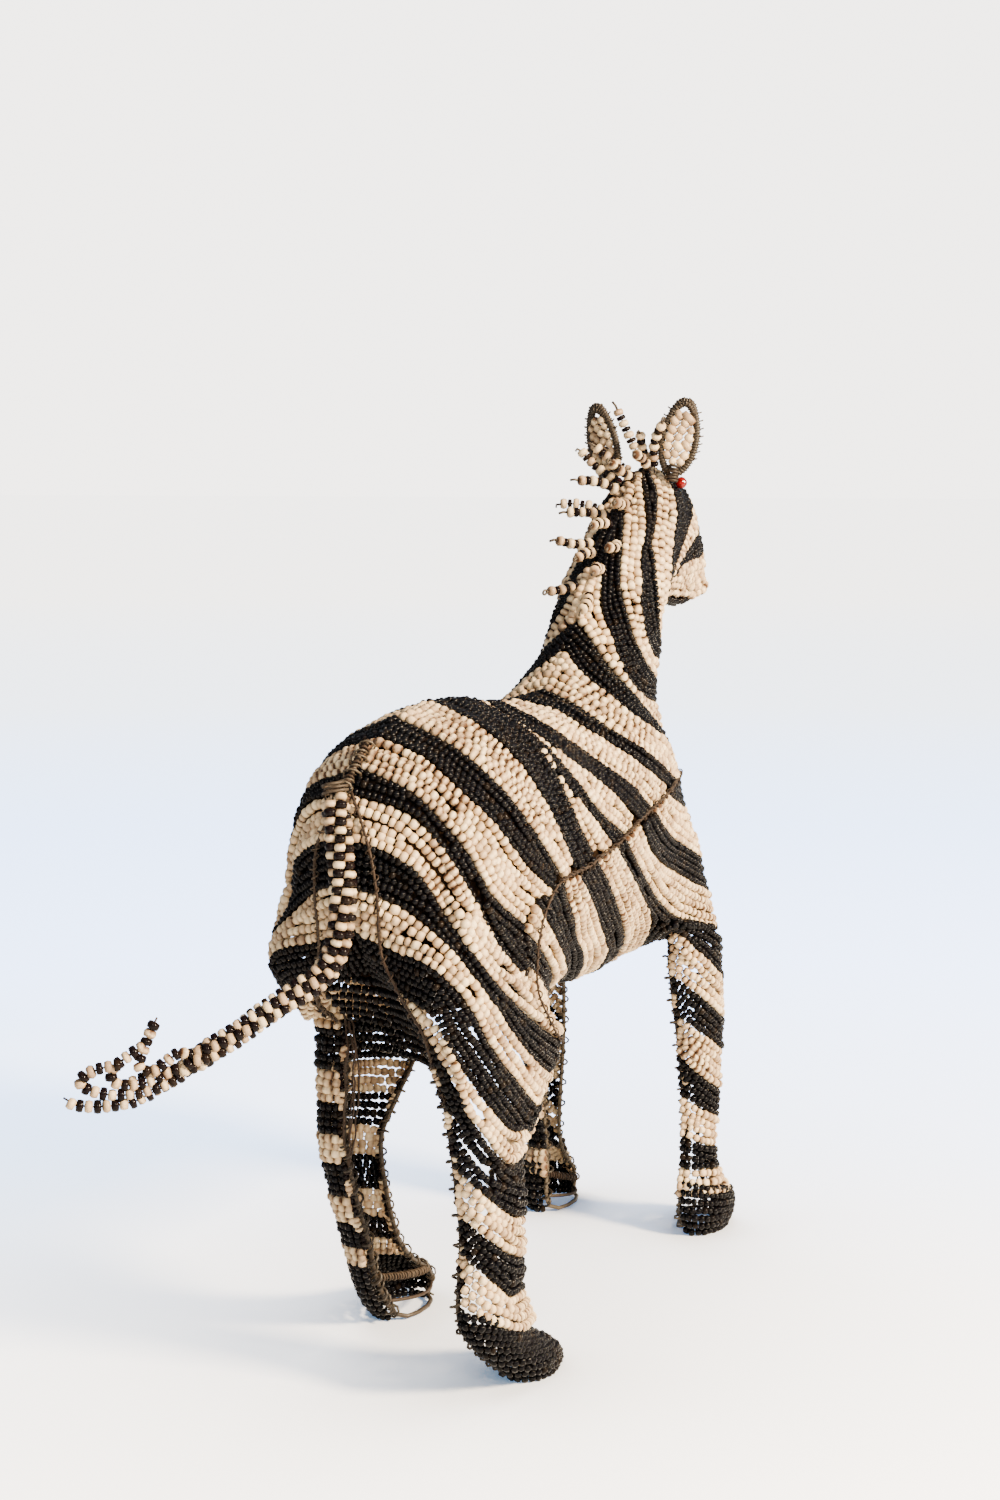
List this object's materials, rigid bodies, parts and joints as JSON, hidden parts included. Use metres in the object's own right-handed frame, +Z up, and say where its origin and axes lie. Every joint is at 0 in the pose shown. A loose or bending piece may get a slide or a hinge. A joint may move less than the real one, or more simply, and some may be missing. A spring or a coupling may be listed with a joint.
{
  "type": "zebra figurine",
  "caption": "Standing zebra figurine of striped glass bead strings on a wire frame, with a short bead-string mane, leaf-shaped ears and a swept tail.",
  "frame": {"origin": "middle of the figure's bounding box at ground level, where the hooves stand", "axes": "+Z up; the head faces -Y; the animal's left side is +X"},
  "size_m": [0.0892, 0.322, 0.2922],
  "materials": {
    "bead_skin": "glossy",
    "cream_beads": "satin",
    "black_beads": "glossy",
    "red_bead": "glossy",
    "frame_wire": "worn"
  },
  "bodies": {
    "root": {"body_beadwork": "bead_skin", "ear_left": "cream_beads", "ear_right": "cream_beads", "ear_rim_left": "frame_wire", "ear_rim_right": "frame_wire", "eye_left": "red_bead", "eye_right": "red_bead", "frame_wire_fore_left": "frame_wire", "frame_wire_fore_right": "frame_wire", "frame_wire_hind_left": "frame_wire", "frame_wire_hind_right": "frame_wire", "mane_string_01": "cream_beads", "mane_string_02": "cream_beads", "mane_string_03": "cream_beads", "mane_string_04": "cream_beads", "mane_string_05": "cream_beads", "mane_string_06": "cream_beads", "mane_string_07": "cream_beads", "mane_string_08": "cream_beads", "mane_string_09": "cream_beads", "mane_string_10": "cream_beads", "mane_string_11": "cream_beads", "mane_string_12": "cream_beads", "mane_string_13": "cream_beads", "mane_string_14": "cream_beads", "mane_string_15": "cream_beads", "mane_string_16": "cream_beads", "mane_string_17": "cream_beads", "mane_string_18": "cream_beads", "tail": "cream_beads"}
  },
  "joints": []
}
